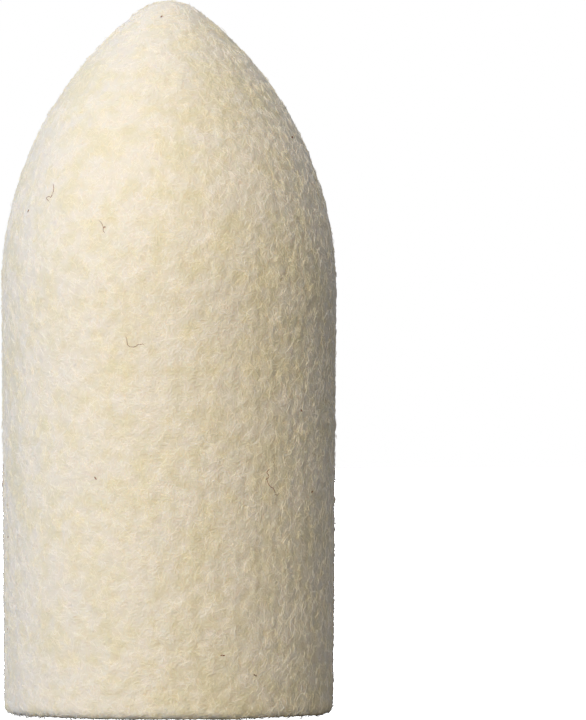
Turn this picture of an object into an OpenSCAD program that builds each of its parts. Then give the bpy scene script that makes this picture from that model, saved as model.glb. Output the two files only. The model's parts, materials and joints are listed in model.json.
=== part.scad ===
// Felt polishing bob: a bullet of hard pressed wool felt with a blind pilot hole in its flat
// base, which a screw-point mandrel is turned into. It stands on its base, +Z to the tip.

/* [Bob] */
// Overall length, from the flat base to the tip
bob_length = 20; // [14:0.5:30]
// Diameter at the shoulder, where the nose starts
shoulder_d = 9.5; // [7:0.1:14]
// Diameter at the base, a little less than at the shoulder
base_d = 9.3; // [6.8:0.1:14]
// Radius of the edge between the flank and the base
base_edge_r = 0.3; // [0.1:0.05:1]

/* [Nose] */
// Length of the curved nose, from the shoulder to the tip
nose_length = 8.15; // [7.5:0.05:12]
// Radius of the blunted tip
tip_r = 1.5; // [0.5:0.1:3]

/* [Pilot hole] */
// Diameter of the pilot hole
pilot_d = 0.9; // [0.5:0.1:3]
// Length of the pilot hole's straight wall, from the base
pilot_depth = 9; // [4:0.5:12]
// Thickness of the browned, stiffened felt around the pilot hole
lining_wall = 0.2; // [0.1:0.05:0.5]

/* [Hidden] */
$fn = 96;

shoulder_r = shoulder_d / 2;
base_r = base_d / 2;
pilot_r = pilot_d / 2;
lining_r = pilot_r + lining_wall;
// The mouths of the holes are cut from this far below the base
cut_through = 1;

// The flank is a shallow cone from the base to the shoulder
shoulder_z = bob_length - nose_length;
flank_angle = atan((shoulder_r - base_r) / shoulder_z);

// The nose is an arc that runs straight up at the shoulder and smoothly into the round tip
tip_z = bob_length - tip_r;
nose_rise = tip_z - shoulder_z;
nose_arc_r = (shoulder_r ^ 2 + nose_rise ^ 2 - tip_r ^ 2) / (2 * (shoulder_r - tip_r));
nose_arc_x = shoulder_r - nose_arc_r;
// The two arcs meet on the line through their centres, at this angle above level
meeting_angle = atan2(nose_rise, -nose_arc_x);

// The base edge's arc touches the base and the flank
edge_x = base_r - base_edge_r * (1 - sin(flank_angle)) / cos(flank_angle);

// Facets along each arc of the outline, enough to stay within 0.003 mm of the curve
edge_steps = 6;
nose_steps = 24;
tip_steps = 8;

// Points on an arc about a centre, from one angle above level to another. An arc that follows
// on from another leaves out its first point, which the other already gives.
function arc(centre, r, from, to, steps, first = 0) =
    [for (i = [first:steps])
        let (a = from + (to - from) * i / steps) centre + r * [cos(a), sin(a)]];

// Half outline of the bob, from the middle of the base round to the tip
function bob_outline() = concat(
    [[0, 0]],
    arc([edge_x, base_edge_r], base_edge_r, -90, -flank_angle, edge_steps),
    arc([nose_arc_x, shoulder_z], nose_arc_r, 0, meeting_angle, nose_steps),
    arc([0, tip_z], tip_r, meeting_angle, 90, tip_steps, first = 1)
);

// Half outline of a round hole up into the bob, ending in a right-angled drill point
function hole_outline(r, start_z) =
    [[0, start_z], [r, start_z], [r, pilot_depth], [0, pilot_depth + r]];

// The bullet of pressed wool, cut out for the lining
module felt_body() {
    color("#e9dfca")
        rotate_extrude()
            difference() {
                polygon(bob_outline());
                polygon(hole_outline(lining_r, -cut_through));
            }
}

// The browned sleeve of the same wool, closed at its upper end and flush with the base
module bore_lining() {
    color("#a8814f")
        rotate_extrude()
            difference() {
                polygon(hole_outline(lining_r, 0));
                polygon(hole_outline(pilot_r, -cut_through));
            }
}

felt_body();
bore_lining();
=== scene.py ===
"""Looks of the felt polishing bob: a bullet of hard pressed wool felt with a pilot hole.

The felt is made the way felt is: a dense core with an uneven, pressed surface, and on it tens of
thousands of separate short curled fibres, matted flat, with a looser nap and a few long strays.
At the pilot hole, which takes the mandrel, the wool is browned and frayed.
"""

import json
import math

import bmesh
import bpy
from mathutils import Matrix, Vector


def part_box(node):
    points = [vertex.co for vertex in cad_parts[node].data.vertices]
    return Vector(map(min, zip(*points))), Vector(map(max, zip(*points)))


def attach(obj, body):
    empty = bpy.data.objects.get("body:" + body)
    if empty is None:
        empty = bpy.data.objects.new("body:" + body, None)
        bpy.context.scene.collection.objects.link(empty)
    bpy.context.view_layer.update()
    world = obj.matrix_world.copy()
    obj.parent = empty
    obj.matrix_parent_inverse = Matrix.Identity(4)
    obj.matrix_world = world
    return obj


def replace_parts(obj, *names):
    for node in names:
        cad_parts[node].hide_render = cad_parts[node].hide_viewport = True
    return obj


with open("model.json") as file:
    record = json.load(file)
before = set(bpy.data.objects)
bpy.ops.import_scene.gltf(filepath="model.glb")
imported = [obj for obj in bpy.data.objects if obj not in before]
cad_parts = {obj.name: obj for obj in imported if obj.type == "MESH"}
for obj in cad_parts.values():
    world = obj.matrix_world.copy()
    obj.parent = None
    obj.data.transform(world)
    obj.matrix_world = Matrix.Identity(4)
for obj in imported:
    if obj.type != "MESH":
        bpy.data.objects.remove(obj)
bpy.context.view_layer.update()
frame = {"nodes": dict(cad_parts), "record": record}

MM = 0.001
SQUARE_MM = MM * MM

# The bob's own sizes come from the frame
BOB_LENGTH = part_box("felt_body")[1].z
LINING_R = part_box("bore_lining")[1].x
PILOT_R = next(mount["dims"]["r_mm"] for mount in frame["record"]["mounts"]
               if mount["name"] == "pilot_hole") * MM

# The felt core is an even mesh of this grain, with relief pressed into it: broad swells from
# hand shaping, lumps of tighter felt, and pits between tufts
CORE_GRAIN = 0.095 * MM
CORE_RELIEF = {
    "swell_size": 2.4 * MM, "swell_depth": 0.06 * MM,
    "lump_size": 0.4 * MM, "lump_depth": 0.05 * MM,
    "pit_size": 0.2 * MM, "pit_depth": 0.085 * MM,
    "flat_radius": LINING_R, "full_radius": LINING_R + 0.4 * MM,
}

# The lining of the pilot hole, which is more ragged
LINING_GRAIN = 0.035 * MM
LINING_RELIEF = {
    "swell_size": 0.6 * MM, "swell_depth": 0.03 * MM,
    "lump_size": 0.25 * MM, "lump_depth": 0.05 * MM,
    "pit_size": 0.1 * MM, "pit_depth": 0.03 * MM,
    "flat_radius": LINING_R - 0.02 * MM, "full_radius": PILOT_R + 0.05 * MM,
}

# Clouds of colour in undyed wool
CLOUD_SIZE = 1.5 * MM
MOTTLE_SIZE = 0.45 * MM

# Curls of matted fibre, finer than the mesh can hold
CURL_SIZE = 0.1 * MM
CURL_DEPTH = 0.012 * MM

# How far light spreads inside a fibre and inside the felt
FIBRE_GLOW = 0.03 * MM
FELT_GLOW = 0.35 * MM

# The browning of the wool at the pilot hole fades, raggedly, over about this much
BROWNED_FADE = 0.4 * MM
RAGGED_SIZE = 0.25 * MM

FELT_HEX = {
    "rose": "#E9DECC",
    "ivory": "#E9DECA",
    "cream": "#E7DBC2",
    "honey": "#E4D8BA",
}
# A single fibre is paler than the felt, because light passes through it
FIBRE_HEX = {
    "rose": "#F6ECDE",
    "ivory": "#F7EDDB",
    "cream": "#F5EAD3",
    "honey": "#F3E7CC",
    "tan": "#C2924F",
    "umber": "#966328",
    "scorch": "#5A3614",
    "burr": "#8A5A38",
}


def linear(hex_colour):
    """An sRGB hex colour as the linear colour that shaders take."""
    channels = [int(hex_colour[i:i + 2], 16) / 255 for i in (1, 3, 5)]
    return [c / 12.92 if c <= 0.04045 else ((c + 0.055) / 1.055) ** 2.4 for c in channels] + [1.0]


def add_node(tree, kind, inputs=None, **settings):
    """Adds one node. Settings are its own properties, and each input, by name or number, gets
    either a value or the output socket that feeds it."""
    made = tree.nodes.new(kind)
    for name, value in settings.items():
        setattr(made, name, value)
    for key, value in (inputs or {}).items():
        if isinstance(value, bpy.types.NodeSocket):
            tree.links.new(value, made.inputs[key])
        else:
            made.inputs[key].default_value = value
    return made


# ---------------------------------------------------------------- patterns of the wool
# These two work in a material and in a geometry tree alike, so the fibres take the same clouds
# and the same browning as the felt that they lie on.


def wool_warmth(tree, place):
    """How warm undyed wool is at a place, from 0, rosy, through ivory and cream to 1, honey."""
    cloud = add_node(tree, "ShaderNodeTexNoise",
                     {"Vector": place, "Scale": 1 / CLOUD_SIZE, "Detail": 2.0})
    mottle = add_node(tree, "ShaderNodeTexNoise",
                      {"Vector": place, "Scale": 1 / MOTTLE_SIZE, "Detail": 1.0})
    # each noise is about a half, so both add up to about 1
    both = add_node(tree, "ShaderNodeMath",
                    {0: cloud.outputs["Fac"], 1: mottle.outputs["Fac"]}, operation="ADD")
    return add_node(tree, "ShaderNodeMapRange", {
        "Value": both.outputs[0], "From Min": 0.75, "From Max": 1.25}).outputs["Result"]


def hole_distance(tree, place):
    """How far a place is from the middle of the pilot hole. The nose counts as far away."""
    split = add_node(tree, "ShaderNodeSeparateXYZ", {0: place})
    flat = add_node(tree, "ShaderNodeCombineXYZ", {0: split.outputs[0], 1: split.outputs[1]})
    radius = add_node(tree, "ShaderNodeVectorMath", {0: flat.outputs[0]}, operation="LENGTH")
    nose = add_node(tree, "ShaderNodeMath", {0: split.outputs[2], 1: BOB_LENGTH / 2},
                    operation="GREATER_THAN")
    return add_node(tree, "ShaderNodeMath", {
        0: nose.outputs[0], 1: BOB_LENGTH, 2: radius.outputs["Value"]},
        operation="MULTIPLY_ADD").outputs[0]


def hole_browning(tree, place):
    """How browned the wool is at a place: 1 in the pilot hole, 0 a little way round its mouth.
    The noise is about a half, which adds about one fade to every distance, and both ends of the
    range allow for that."""
    noise = add_node(tree, "ShaderNodeTexNoise",
                     {"Vector": place, "Scale": 1 / RAGGED_SIZE, "Detail": 1.0})
    ragged = add_node(tree, "ShaderNodeMath", {
        0: noise.outputs["Fac"], 1: 2 * BROWNED_FADE, 2: hole_distance(tree, place)},
        operation="MULTIPLY_ADD")
    return add_node(tree, "ShaderNodeMapRange", {
        "Value": ragged.outputs[0], "From Min": PILOT_R + 1.5 * BROWNED_FADE,
        "From Max": PILOT_R + 0.8 * BROWNED_FADE}).outputs["Result"]


# ---------------------------------------------------------------- materials


def new_material(name):
    """An empty material, and the tree to build it in."""
    material = bpy.data.materials.new(name)
    material.use_nodes = True
    material.node_tree.nodes.clear()
    return material, material.node_tree


def wool_fibre(tone):
    """One tone of wool fibre. It is matt, its scales give it a faint sheen, and light goes some
    way into it, which keeps its far side from going black."""
    material, tree = new_material("wool_fibre_" + tone)
    shader = add_node(tree, "ShaderNodeBsdfPrincipled", {
        "Base Color": linear(FIBRE_HEX[tone]),
        "Roughness": 0.75,
        "IOR": 1.55,
        "Specular IOR Level": 0.2,
        "Sheen Weight": 0.2,
        "Sheen Roughness": 0.5,
        "Subsurface Weight": 0.5,
        "Subsurface Scale": FIBRE_GLOW,
        "Subsurface Radius": (1.0, 0.9, 0.8),
    })
    add_node(tree, "ShaderNodeOutputMaterial", {"Surface": shader.outputs["BSDF"]})
    return material


def pressed_wool():
    """Hard pressed undyed wool felt. It is dull all over and cloudy, from rosy ivory to honey,
    with matted curls in its surface, light that spreads inside it and softens its shadows, and
    brown wool at the pilot hole."""
    material, tree = new_material("pressed_wool_felt")
    place = add_node(tree, "ShaderNodeTexCoord").outputs["Object"]
    clouds = add_node(tree, "ShaderNodeValToRGB", {"Fac": wool_warmth(tree, place)})
    steps = clouds.color_ramp.elements
    steps[0].color = linear(FELT_HEX["rose"])
    steps[1].color = linear(FELT_HEX["honey"])
    for position, tone in ((0.35, "ivory"), (0.65, "cream")):
        steps.new(position).color = linear(FELT_HEX[tone])
    browning = hole_browning(tree, place)
    browns = add_node(tree, "ShaderNodeValToRGB", {"Fac": browning})
    browns.color_ramp.elements[0].color = linear(FIBRE_HEX["tan"])
    browns.color_ramp.elements[1].color = linear(FIBRE_HEX["scorch"])
    browns.color_ramp.elements.new(0.6).color = linear(FIBRE_HEX["umber"])
    colour = add_node(tree, "ShaderNodeMix", {
        "Factor": browning, "A": clouds.outputs["Color"], "B": browns.outputs["Color"]},
        data_type="RGBA")
    curls = add_node(tree, "ShaderNodeTexNoise", {
        "Vector": place, "Scale": 1 / CURL_SIZE, "Detail": 1.0, "Offset": 0.9, "Gain": 1.5},
        noise_type="RIDGED_MULTIFRACTAL")
    bump = add_node(tree, "ShaderNodeBump", {
        "Height": curls.outputs["Fac"], "Strength": 0.8, "Distance": CURL_DEPTH})
    shader = add_node(tree, "ShaderNodeBsdfPrincipled", {
        "Base Color": colour.outputs["Result"],
        "Roughness": 0.95,
        "IOR": 1.5,
        "Specular IOR Level": 0.15,
        "Sheen Weight": 0.25,
        "Sheen Roughness": 0.6,
        "Subsurface Weight": 0.4,
        "Subsurface Scale": FELT_GLOW,
        "Subsurface Radius": (1.0, 0.75, 0.5),
        "Normal": bump.outputs["Normal"],
    })
    add_node(tree, "ShaderNodeOutputMaterial", {"Surface": shader.outputs["BSDF"]})
    return material


def browned_wool():
    """Wool felt browned and stiffened by the making of its hole: blotches of tan, umber and
    scorch, a little shinier than the soft felt, and undyed where the browning ends."""
    material, tree = new_material("browned_wool_felt")
    place = add_node(tree, "ShaderNodeTexCoord").outputs["Object"]
    blotch = add_node(tree, "ShaderNodeTexNoise",
                      {"Vector": place, "Scale": 1 / RAGGED_SIZE, "Detail": 3.0})
    browns = add_node(tree, "ShaderNodeValToRGB", {"Fac": blotch.outputs["Fac"]})
    steps = browns.color_ramp.elements
    steps[0].position, steps[0].color = 0.35, linear(FIBRE_HEX["tan"])
    steps[1].position, steps[1].color = 0.65, linear(FIBRE_HEX["scorch"])
    steps.new(0.5).color = linear(FIBRE_HEX["umber"])
    colour = add_node(tree, "ShaderNodeMix", {
        "Factor": hole_browning(tree, place), "A": linear(FELT_HEX["cream"]),
        "B": browns.outputs["Color"]}, data_type="RGBA")
    shader = add_node(tree, "ShaderNodeBsdfPrincipled", {
        "Base Color": colour.outputs["Result"],
        "Roughness": 0.85,
        "IOR": 1.5,
        "Specular IOR Level": 0.25,
        "Sheen Weight": 0.15,
        "Sheen Roughness": 0.6,
    })
    add_node(tree, "ShaderNodeOutputMaterial", {"Surface": shader.outputs["BSDF"]})
    return material


# ---------------------------------------------------------------- geometry trees


def new_geometry_tree(name, sizes):
    """A Geometry Nodes tree with geometry in and out and one named input for each size. Returns
    the tree and its inputs."""
    tree = bpy.data.node_groups.new(name, "GeometryNodeTree")
    tree.interface.new_socket("Geometry", in_out="INPUT", socket_type="NodeSocketGeometry")
    for label, kind in sizes.items():
        tree.interface.new_socket(label, in_out="INPUT", socket_type="NodeSocket" + kind)
    tree.interface.new_socket("Geometry", in_out="OUTPUT", socket_type="NodeSocketGeometry")
    return tree, add_node(tree, "NodeGroupInput").outputs


def realized(tree, geometry, material):
    """The end of every tree: plain geometry with its material."""
    real = add_node(tree, "GeometryNodeRealizeInstances", {"Geometry": geometry})
    return add_node(tree, "GeometryNodeSetMaterial", {
        "Geometry": real.outputs["Geometry"], "Material": material}).outputs["Geometry"]


def run_tree(tree, mesh, name, **sizes):
    """Runs a tree on a copy of a mesh, and returns the result as a plain mesh object."""
    piece = bpy.data.objects.new(name, mesh.copy())
    bpy.context.scene.collection.objects.link(piece)
    modifier = piece.modifiers.new(tree.name, "NODES")
    modifier.node_group = tree
    for item in tree.interface.items_tree:
        label = item.name.lower().replace(" ", "_")
        if item.item_type == "SOCKET" and item.in_out == "INPUT" and label in sizes:
            modifier[item.identifier] = sizes[label]
    return applied(piece)


def applied(piece):
    """Turns a piece with modifiers into the plain mesh that they make."""
    evaluated = piece.evaluated_get(bpy.context.evaluated_depsgraph_get())
    mesh = bpy.data.meshes.new_from_object(evaluated)
    mesh.name = piece.name
    piece.modifiers.clear()
    piece.data = mesh
    return piece


def even_copy(node, grain):
    """A copy of a CAD node's mesh, closed and of even grain, ready for relief."""
    mesh = frame["nodes"][node].data.copy()
    shell = bmesh.new()
    shell.from_mesh(mesh)
    bmesh.ops.remove_doubles(shell, verts=shell.verts, dist=0.001 * MM)
    shell.to_mesh(mesh)
    shell.free()
    piece = bpy.data.objects.new(node + "_blank", mesh)
    bpy.context.scene.collection.objects.link(piece)
    remesh = piece.modifiers.new("even", "REMESH")
    remesh.mode = "VOXEL"
    remesh.voxel_size = grain
    even = applied(piece).data
    bpy.data.objects.remove(piece)
    return even


def relief_tree():
    """Presses swells, lumps and pits into a surface, always inwards. The relief grows from
    nothing at the flat radius round the pilot hole to all of it at the full radius, so that
    the lining and the felt round it still meet."""
    tree, given = new_geometry_tree("pressed_relief", {
        "Swell size": "Float", "Swell depth": "Float", "Lump size": "Float",
        "Lump depth": "Float", "Pit size": "Float", "Pit depth": "Float",
        "Flat radius": "Float", "Full radius": "Float", "Material": "Material",
    })
    depth = 0.0
    for wave in ("Swell", "Lump", "Pit"):
        scale = add_node(tree, "ShaderNodeMath", {0: 1.0, 1: given[wave + " size"]},
                         operation="DIVIDE")
        noise = add_node(tree, "ShaderNodeTexNoise",
                         {"Scale": scale.outputs[0], "Detail": 2.0})
        depth = add_node(tree, "ShaderNodeMath", {
            0: noise.outputs["Fac"], 1: given[wave + " depth"], 2: depth},
            operation="MULTIPLY_ADD").outputs[0]
    place = add_node(tree, "GeometryNodeInputPosition").outputs[0]
    outwards = add_node(tree, "ShaderNodeMapRange", {
        "Value": hole_distance(tree, place), "From Min": given["Flat radius"],
        "From Max": given["Full radius"], "To Max": -1.0})
    inwards = add_node(tree, "ShaderNodeMath", {0: depth, 1: outwards.outputs["Result"]},
                       operation="MULTIPLY")
    normal = add_node(tree, "GeometryNodeInputNormal").outputs["Normal"]
    push = add_node(tree, "ShaderNodeVectorMath",
                    {0: normal, "Scale": inwards.outputs[0]}, operation="SCALE")
    moved = add_node(tree, "GeometryNodeSetPosition",
                     {"Geometry": given["Geometry"], "Offset": push.outputs[0]})
    smooth = add_node(tree, "GeometryNodeSetShadeSmooth",
                      {"Geometry": moved.outputs["Geometry"]})
    add_node(tree, "NodeGroupOutput", {
        0: realized(tree, smooth.outputs["Geometry"], given["Material"])})
    return tree


def fibre_tree(tones, browns):
    """Scatters curled fibres over a surface. Each is a line laid along the surface, bent by a
    noise of its own, and given thickness, tapered ends and the tone of the wool under it."""
    tree, given = new_geometry_tree("wool_fibres", {
        "Per square metre": "Float", "Length": "Float", "Thickness": "Float", "Points": "Int",
        "Curl": "Float", "Bends": "Float", "Loft": "Float", "Lift": "Float", "Tilt": "Float",
        "Tone spread": "Float", "Hole radius": "Float", "Hole depth": "Float",
        "Within radius": "Float", "Seed": "Int",
    })

    def maths(operation, *values):
        """One Math node on numbers or sockets."""
        return add_node(tree, "ShaderNodeMath", dict(enumerate(values)),
                        operation=operation).outputs[0]

    def random_number(low, high, salt):
        """A number of each point's own. The salt keeps one kind apart from another."""
        return add_node(tree, "FunctionNodeRandomValue", {
            2: low, 3: high, "Seed": maths("ADD", given["Seed"], salt)}).outputs[1]

    def stored(geometry, name, value, kind="FLOAT"):
        """The geometry with a value kept on its points, which each fibre then carries."""
        return add_node(tree, "GeometryNodeStoreNamedAttribute",
                        {"Geometry": geometry, "Name": name, "Value": value},
                        data_type=kind, domain="POINT").outputs["Geometry"]

    def recalled(name, kind="FLOAT"):
        """A value kept by stored."""
        return add_node(tree, "GeometryNodeInputNamedAttribute", {"Name": name},
                        data_type=kind).outputs["Attribute"]

    # in the pilot hole, fibres grow only down to the hole depth, and nowhere past the within
    # radius
    place = add_node(tree, "GeometryNodeInputPosition").outputs[0]
    distance = hole_distance(tree, place)
    outside = maths("GREATER_THAN", distance, given["Hole radius"])
    up_hole = add_node(tree, "ShaderNodeSeparateXYZ", {0: place}).outputs[2]
    kept = maths("ADD", outside, maths("LESS_THAN", up_hole, given["Hole depth"]))
    kept = maths("MULTIPLY", kept, maths("LESS_THAN", distance, given["Within radius"]))
    scatter = add_node(tree, "GeometryNodeDistributePointsOnFaces", {
        "Mesh": given["Geometry"], "Selection": kept, "Density": given["Per square metre"],
        "Seed": given["Seed"]})
    points = stored(scatter.outputs["Points"], "away", scatter.outputs["Normal"],
                    "FLOAT_VECTOR")
    points = stored(points, "own", random_number(0.0, 1.0, 11))
    jitter = maths("MULTIPLY", random_number(-0.5, 0.5, 17), given["Tone spread"])
    points = stored(points, "warmth", maths("ADD", wool_warmth(tree, place), jitter))
    points = stored(points, "browning",
                    maths("ADD", hole_browning(tree, place), maths("MULTIPLY", jitter, 0.5)))

    # a straight line across the surface, turned and tilted at random
    half = maths("MULTIPLY", given["Length"], 0.5)
    start = add_node(tree, "ShaderNodeCombineXYZ", {"X": maths("MULTIPLY", half, -1.0)})
    end = add_node(tree, "ShaderNodeCombineXYZ", {"X": half})
    line = add_node(tree, "GeometryNodeCurvePrimitiveLine",
                    {"Start": start.outputs[0], "End": end.outputs[0]})
    line = add_node(tree, "GeometryNodeResampleCurve",
                    {"Curve": line.outputs["Curve"], "Count": given["Points"]})
    turned = scatter.outputs["Rotation"]
    spin = add_node(tree, "ShaderNodeCombineXYZ", {"Z": random_number(0.0, 2 * math.pi, 23)})
    lean = add_node(tree, "ShaderNodeCombineXYZ", {
        "Y": maths("MULTIPLY", random_number(-1.0, 1.0, 31), given["Tilt"])})
    for turn in (spin, lean):
        by = add_node(tree, "FunctionNodeEulerToRotation", {0: turn.outputs[0]})
        turned = add_node(tree, "FunctionNodeRotateRotation",
                          {"Rotation": turned, "Rotate By": by.outputs[0]},
                          rotation_space="LOCAL").outputs[0]
    stretch = add_node(tree, "ShaderNodeCombineXYZ",
                       {"X": random_number(0.5, 1.5, 41), "Y": 1.0, "Z": 1.0})
    laid = add_node(tree, "GeometryNodeInstanceOnPoints", {
        "Points": points, "Instance": line.outputs["Curve"], "Rotation": turned,
        "Scale": stretch.outputs[0]})
    strands = add_node(tree, "GeometryNodeRealizeInstances",
                       {"Geometry": laid.outputs["Instances"]}).outputs["Geometry"]

    # each strand bends by a noise that no other strand shares. It strays about a quarter from
    # its middle, so four times it bends a strand by about the curl
    own = recalled("own")
    noise = add_node(tree, "ShaderNodeTexNoise", {
        "W": maths("MULTIPLY", own, 1000.0), "Detail": 1.0,
        "Scale": maths("DIVIDE", given["Bends"], given["Length"])}, noise_dimensions="4D")
    centred = add_node(tree, "ShaderNodeVectorMath",
                       {0: noise.outputs["Color"], 1: (0.5, 0.5, 0.5)}, operation="SUBTRACT")
    bend = add_node(tree, "ShaderNodeVectorMath", {
        0: centred.outputs[0], "Scale": maths("MULTIPLY", given["Curl"], 4.0)},
        operation="SCALE")
    # only a part of the bend out of the surface, the loft, is kept, and the lift is added
    away = recalled("away", "FLOAT_VECTOR")
    rise = add_node(tree, "ShaderNodeVectorMath", {0: bend.outputs[0], 1: away},
                    operation="DOT_PRODUCT")
    lift = maths("MULTIPLY", own, given["Lift"])
    flattening = maths("SUBTRACT", given["Loft"], 1.0)
    height = maths("MULTIPLY_ADD", rise.outputs["Value"], flattening, lift)
    up = add_node(tree, "ShaderNodeVectorMath", {0: away, "Scale": height}, operation="SCALE")
    offset = add_node(tree, "ShaderNodeVectorMath", {0: bend.outputs[0], 1: up.outputs[0]},
                      operation="ADD")
    strands = add_node(tree, "GeometryNodeSetPosition",
                       {"Geometry": strands, "Offset": offset.outputs[0]}).outputs[0]
    # what would reach below the base is flattened against what the bob stands on
    now = add_node(tree, "ShaderNodeSeparateXYZ",
                   {0: add_node(tree, "GeometryNodeInputPosition").outputs[0]})
    level = add_node(tree, "ShaderNodeCombineXYZ", {
        0: now.outputs[0], 1: now.outputs[1],
        2: maths("MAXIMUM", now.outputs[2], maths("MULTIPLY", given["Thickness"], 0.5))})
    strands = add_node(tree, "GeometryNodeSetPosition",
                       {"Geometry": strands, "Position": level.outputs[0]}).outputs[0]

    # thickness, less than half as much at both ends
    factor = add_node(tree, "GeometryNodeSplineParameter").outputs["Factor"]
    taper = add_node(tree, "ShaderNodeFloatCurve", {"Value": factor})
    shape = taper.mapping.curves[0].points
    shape[0].location = (0.0, 0.45)
    shape[1].location = (1.0, 0.45)
    shape.new(0.25, 1.0)
    shape.new(0.75, 1.0)
    taper.mapping.update()
    profile = add_node(tree, "GeometryNodeCurvePrimitiveCircle", {
        "Resolution": 3, "Radius": maths("MULTIPLY", given["Thickness"], 0.5)})
    tubes = add_node(tree, "GeometryNodeCurveToMesh", {
        "Curve": strands, "Profile Curve": profile.outputs["Curve"],
        "Scale": taper.outputs[0], "Fill Caps": True}).outputs["Mesh"]

    # the first tone is everywhere, and each later one takes over above its own level
    body = realized(tree, tubes, tones[0][1])
    ladder = [("warmth", level, tone) for level, tone in tones[1:]]
    ladder += [("browning", level, tone) for level, tone in browns]
    for measure, level, tone in ladder:
        above = maths("GREATER_THAN", recalled(measure), level)
        body = add_node(tree, "GeometryNodeSetMaterial", {
            "Geometry": body, "Selection": above, "Material": tone}).outputs["Geometry"]
    add_node(tree, "NodeGroupOutput", {0: body})
    return tree


def fleck_tree():
    """Scatters small chips of burr. Each is a dented pebble, drawn out or squashed by a random
    stretch, turned, and half sunk in the felt."""
    tree, given = new_geometry_tree("burr_flecks", {
        "Per square metre": "Float", "Size": "Float", "Seed": "Int", "Material": "Material",
    })
    scatter = add_node(tree, "GeometryNodeDistributePointsOnFaces", {
        "Mesh": given["Geometry"], "Density": given["Per square metre"], "Seed": given["Seed"]})
    chip = add_node(tree, "GeometryNodeMeshIcoSphere", {"Radius": 0.5, "Subdivisions": 2})
    noise = add_node(tree, "ShaderNodeTexNoise", {"Scale": 2.5})
    dent = add_node(tree, "ShaderNodeVectorMath",
                    {0: noise.outputs["Color"], 1: (0.5, 0.5, 0.5)}, operation="SUBTRACT")
    chip = add_node(tree, "GeometryNodeSetPosition",
                    {"Geometry": chip.outputs["Mesh"], "Offset": dent.outputs[0]})
    turn = add_node(tree, "FunctionNodeRandomValue", {
        0: (-0.3, -0.3, 0.0), 1: (0.3, 0.3, 2 * math.pi), "Seed": given["Seed"]},
        data_type="FLOAT_VECTOR")
    by = add_node(tree, "FunctionNodeEulerToRotation", {0: turn.outputs[0]})
    turned = add_node(tree, "FunctionNodeRotateRotation", {
        "Rotation": scatter.outputs["Rotation"], "Rotate By": by.outputs[0]},
        rotation_space="LOCAL")
    stretch = add_node(tree, "FunctionNodeRandomValue", {
        0: (0.6, 0.4, 0.3), 1: (1.8, 1.0, 0.5), "Seed": given["Seed"]},
        data_type="FLOAT_VECTOR")
    scale = add_node(tree, "ShaderNodeVectorMath",
                     {0: stretch.outputs[0], "Scale": given["Size"]}, operation="SCALE")
    laid = add_node(tree, "GeometryNodeInstanceOnPoints", {
        "Points": scatter.outputs["Points"], "Instance": chip.outputs["Geometry"],
        "Rotation": turned.outputs[0], "Scale": scale.outputs[0]})
    add_node(tree, "NodeGroupOutput", {
        0: realized(tree, laid.outputs["Instances"], given["Material"])})
    return tree


def finish_piece(piece):
    """Puts a finished piece on the bob's one body."""
    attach(piece, "root")
    return piece


# ---------------------------------------------------------------- camera, lights and floor

# The camera is far back, with a long lens, so the bob's sides look almost parallel
CAMERA_BACK = 218 * MM
CAMERA_ASIDE = 3.46 * MM
CAMERA_UP = 9.9 * MM
LENS = 391
# How much of the floor is see-through, which keeps the bob's shadow faint
FLOOR_CLEARNESS = 0.45
FLOOR_REACH = 0.5
# The floor lies just below the base, so that the two don't share a plane
FLOOR_GAP = 0.02 * MM


def add_camera():
    """The camera looks straight at the bob's side, from far off, at half its height."""
    data = bpy.data.cameras.new("camera")
    data.lens = LENS
    data.clip_start = 1 * MM
    camera = bpy.data.objects.new("camera", data)
    camera.location = (CAMERA_ASIDE, -CAMERA_BACK, CAMERA_UP)
    camera.rotation_euler = (math.radians(90), 0, 0)
    bpy.context.scene.collection.objects.link(camera)
    bpy.context.scene.camera = camera


def add_softbox(name, azimuth, elevation, distance, size, radiance, colour):
    """A square softbox aimed at the middle of the bob. Azimuth 0 is in front of it and 90 on
    its right. Radiance is how bright its face is, with 1 as white."""
    data = bpy.data.lights.new(name, "AREA")
    data.shape = "SQUARE"
    data.size = size
    data.energy = radiance * math.pi * size * size
    data.color = colour
    lamp = bpy.data.objects.new(name, data)
    around, up = math.radians(azimuth), math.radians(elevation)
    outwards = Vector((math.sin(around) * math.cos(up), -math.cos(around) * math.cos(up),
                       math.sin(up)))
    lamp.location = Vector((0, 0, BOB_LENGTH / 2)) + outwards * distance
    lamp.rotation_euler = outwards.to_track_quat("Z", "Y").to_euler()
    bpy.context.scene.collection.objects.link(lamp)


def add_world(ambient, colour):
    """White behind everything, and a dim even light on the bob."""
    world = bpy.data.worlds.new("studio")
    world.use_nodes = True
    bpy.context.scene.world = world
    tree = world.node_tree
    tree.nodes.clear()
    seen = add_node(tree, "ShaderNodeLightPath").outputs["Is Camera Ray"]
    fill = add_node(tree, "ShaderNodeBackground", {"Color": colour, "Strength": ambient})
    white = add_node(tree, "ShaderNodeBackground", {"Color": (1, 1, 1, 1), "Strength": 1.0})
    both = add_node(tree, "ShaderNodeMixShader",
                    {0: seen, 1: fill.outputs[0], 2: white.outputs[0]})
    add_node(tree, "ShaderNodeOutputWorld", {"Surface": both.outputs[0]})


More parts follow.
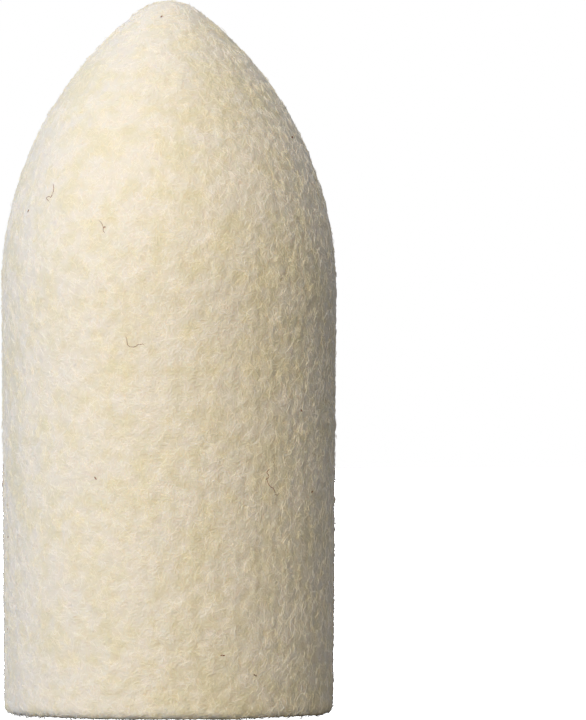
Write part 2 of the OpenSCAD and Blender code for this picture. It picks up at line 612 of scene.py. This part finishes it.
def add_floor():
    """A pale floor that shows only the bob's soft shadow."""
    mesh = bpy.data.meshes.new("floor")
    corners = [(x * FLOOR_REACH, y * FLOOR_REACH, 0)
               for x, y in ((-1, -1), (1, -1), (1, 1), (-1, 1))]
    mesh.from_pydata(corners, [], [(0, 1, 2, 3)])
    floor = bpy.data.objects.new("floor", mesh)
    floor.location.z = -FLOOR_GAP
    bpy.context.scene.collection.objects.link(floor)
    material, tree = new_material("white_sweep")
    pale = add_node(tree, "ShaderNodeBsdfDiffuse", {"Color": (0.8, 0.8, 0.8, 1)})
    clear = add_node(tree, "ShaderNodeBsdfTransparent")
    faint = add_node(tree, "ShaderNodeMixShader",
                     {0: FLOOR_CLEARNESS, 1: pale.outputs[0], 2: clear.outputs[0]})
    add_node(tree, "ShaderNodeOutputMaterial", {"Surface": faint.outputs[0]})
    mesh.materials.append(material)
    floor.is_shadow_catcher = True


bpy.context.scene.view_settings.view_transform = "Standard"
add_camera()
# A warm key in front, cooler fill from the left and above, and a dimmer light behind
add_world(ambient=0.035, colour=(1.0, 0.85, 0.6, 1))
add_softbox("left_softbox", azimuth=-62, elevation=23, distance=0.14, size=0.1, radiance=2.8,
            colour=(0.38, 0.56, 1.0))
add_softbox("front_softbox", azimuth=-20, elevation=30, distance=0.16, size=0.1, radiance=6.5,
            colour=(1.0, 0.92, 0.69))
add_softbox("top_softbox", azimuth=-20, elevation=70, distance=0.16, size=0.1, radiance=2.5,
            colour=(0.54, 0.67, 1.0))
add_softbox("back_softbox", azimuth=172, elevation=30, distance=0.16, size=0.16, radiance=1.6,
            colour=(0.95, 0.96, 1.0))
add_floor()

# ---------------------------------------------------------------- the bob

relief = relief_tree()
core = run_tree(relief, even_copy("felt_body", CORE_GRAIN), "felt_core",
                material=pressed_wool(), **CORE_RELIEF)
lining = run_tree(relief, even_copy("bore_lining", LINING_GRAIN), "browned_lining",
                  material=browned_wool(), **LINING_RELIEF)
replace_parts(finish_piece(core), "felt_body")
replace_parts(finish_piece(lining), "bore_lining")

tones = {tone: wool_fibre(tone) for tone in FIBRE_HEX}
undyed = fibre_tree(
    [(0.0, tones["rose"]), (0.25, tones["ivory"]), (0.5, tones["cream"]),
     (0.75, tones["honey"])],
    [(0.35, tones["tan"]), (0.6, tones["umber"]), (0.85, tones["scorch"])])
browned = fibre_tree(
    [(0.0, tones["honey"]), (0.1, tones["tan"]), (0.6, tones["umber"]),
     (0.95, tones["scorch"])], [])
kemp = fibre_tree([(0.0, tones["burr"])], [])

# Each kind of fibre is given as its tree, the mesh it grows on, its slot, its number of layers,
# which keep each piece light, and its sizes. On the skin, fibres stay out of the pilot hole. On
# the lining, they grow from the hole's side and its rim, but not from the side that is buried in
# the felt. Curl is how far a strand bends, loft how much of that is out of the surface, and lift
# how far it may be raised from it. The strands are as thin as fine wool.
ON_SKIN = {"hole_radius": LINING_R, "hole_depth": 0.1 * MM, "within_radius": 1.0}
ON_LINING = {"hole_radius": 1.0, "within_radius": LINING_R - 0.01 * MM}
FIBRES = {
    "matted_fibres": (undyed, core, "pressed_wool", 5, {
        "per_square_metre": 9 / SQUARE_MM, "length": 0.28 * MM, "thickness": 0.015 * MM,
        "points": 6, "curl": 0.08 * MM, "bends": 1.4, "loft": 0.3, "lift": 0.004 * MM,
        "tilt": 0.03, "tone_spread": 0.5, **ON_SKIN}),
    "loose_nap": (undyed, core, "pressed_wool", 3, {
        "per_square_metre": 6 / SQUARE_MM, "length": 0.26 * MM, "thickness": 0.015 * MM,
        "points": 9, "curl": 0.11 * MM, "bends": 2.0, "loft": 0.35, "lift": 0.008 * MM,
        "tilt": 0.06, "tone_spread": 0.6, **ON_SKIN}),
    "stray_fibres": (undyed, core, "pressed_wool", 1, {
        "per_square_metre": 0.15 / SQUARE_MM, "length": 1.0 * MM, "thickness": 0.014 * MM,
        "points": 24, "curl": 0.25 * MM, "bends": 2.5, "loft": 0.15, "lift": 0.02 * MM,
        "tilt": 0.03, "tone_spread": 1.0, **ON_SKIN}),
    "kemp_fibres": (kemp, core, "pressed_wool", 1, {
        "per_square_metre": 0.012 / SQUARE_MM, "length": 0.6 * MM, "thickness": 0.02 * MM,
        "points": 20, "curl": 0.22 * MM, "bends": 2.5, "loft": 0.2, "lift": 0.01 * MM,
        "tilt": 0.03, "tone_spread": 0.0, **ON_SKIN}),
    "mouth_fibres": (undyed, lining, "browned_wool", 1, {
        "per_square_metre": 400 / SQUARE_MM, "length": 0.3 * MM, "thickness": 0.015 * MM,
        "points": 9, "curl": 0.12 * MM, "bends": 2.0, "loft": 0.4, "lift": 0.01 * MM,
        "tilt": 0.1, "tone_spread": 0.8, "hole_depth": 0.05 * MM, **ON_LINING}),
    "frayed_fibres": (browned, lining, "browned_wool", 1, {
        "per_square_metre": 160 / SQUARE_MM, "length": 0.36 * MM, "thickness": 0.014 * MM,
        "points": 14, "curl": 0.16 * MM, "bends": 1.4, "loft": 1.0, "lift": 0.12 * MM,
        "tilt": 0.8, "tone_spread": 1.6, "hole_depth": 0.8 * MM, **ON_LINING}),
    "crossing_fibres": (browned, lining, "browned_wool", 1, {
        "per_square_metre": 130 / SQUARE_MM, "length": 0.42 * MM, "thickness": 0.014 * MM,
        "points": 14, "curl": 0.14 * MM, "bends": 1.4, "loft": 1.0, "lift": 0.5 * MM,
        "tilt": 0.5, "tone_spread": 1.4, "hole_depth": 0.5 * MM, **ON_LINING}),
}
seed = 0
for name, (tree, ground, slot, layers, sizes) in FIBRES.items():
    for layer in range(layers):
        seed += 1
        label = name if layers == 1 else f"{name}_{layer + 1}"
        piece = run_tree(tree, ground.data, label, seed=seed, **sizes)
        # wool lets most light through: full shadows would make the strands look like cracks
        piece.visible_shadow = False
        finish_piece(piece)

flecks = run_tree(fleck_tree(), core.data, "burr_flecks", per_square_metre=0.05 / SQUARE_MM,
                  size=0.07 * MM, seed=3, material=tones["burr"])
finish_piece(flecks)
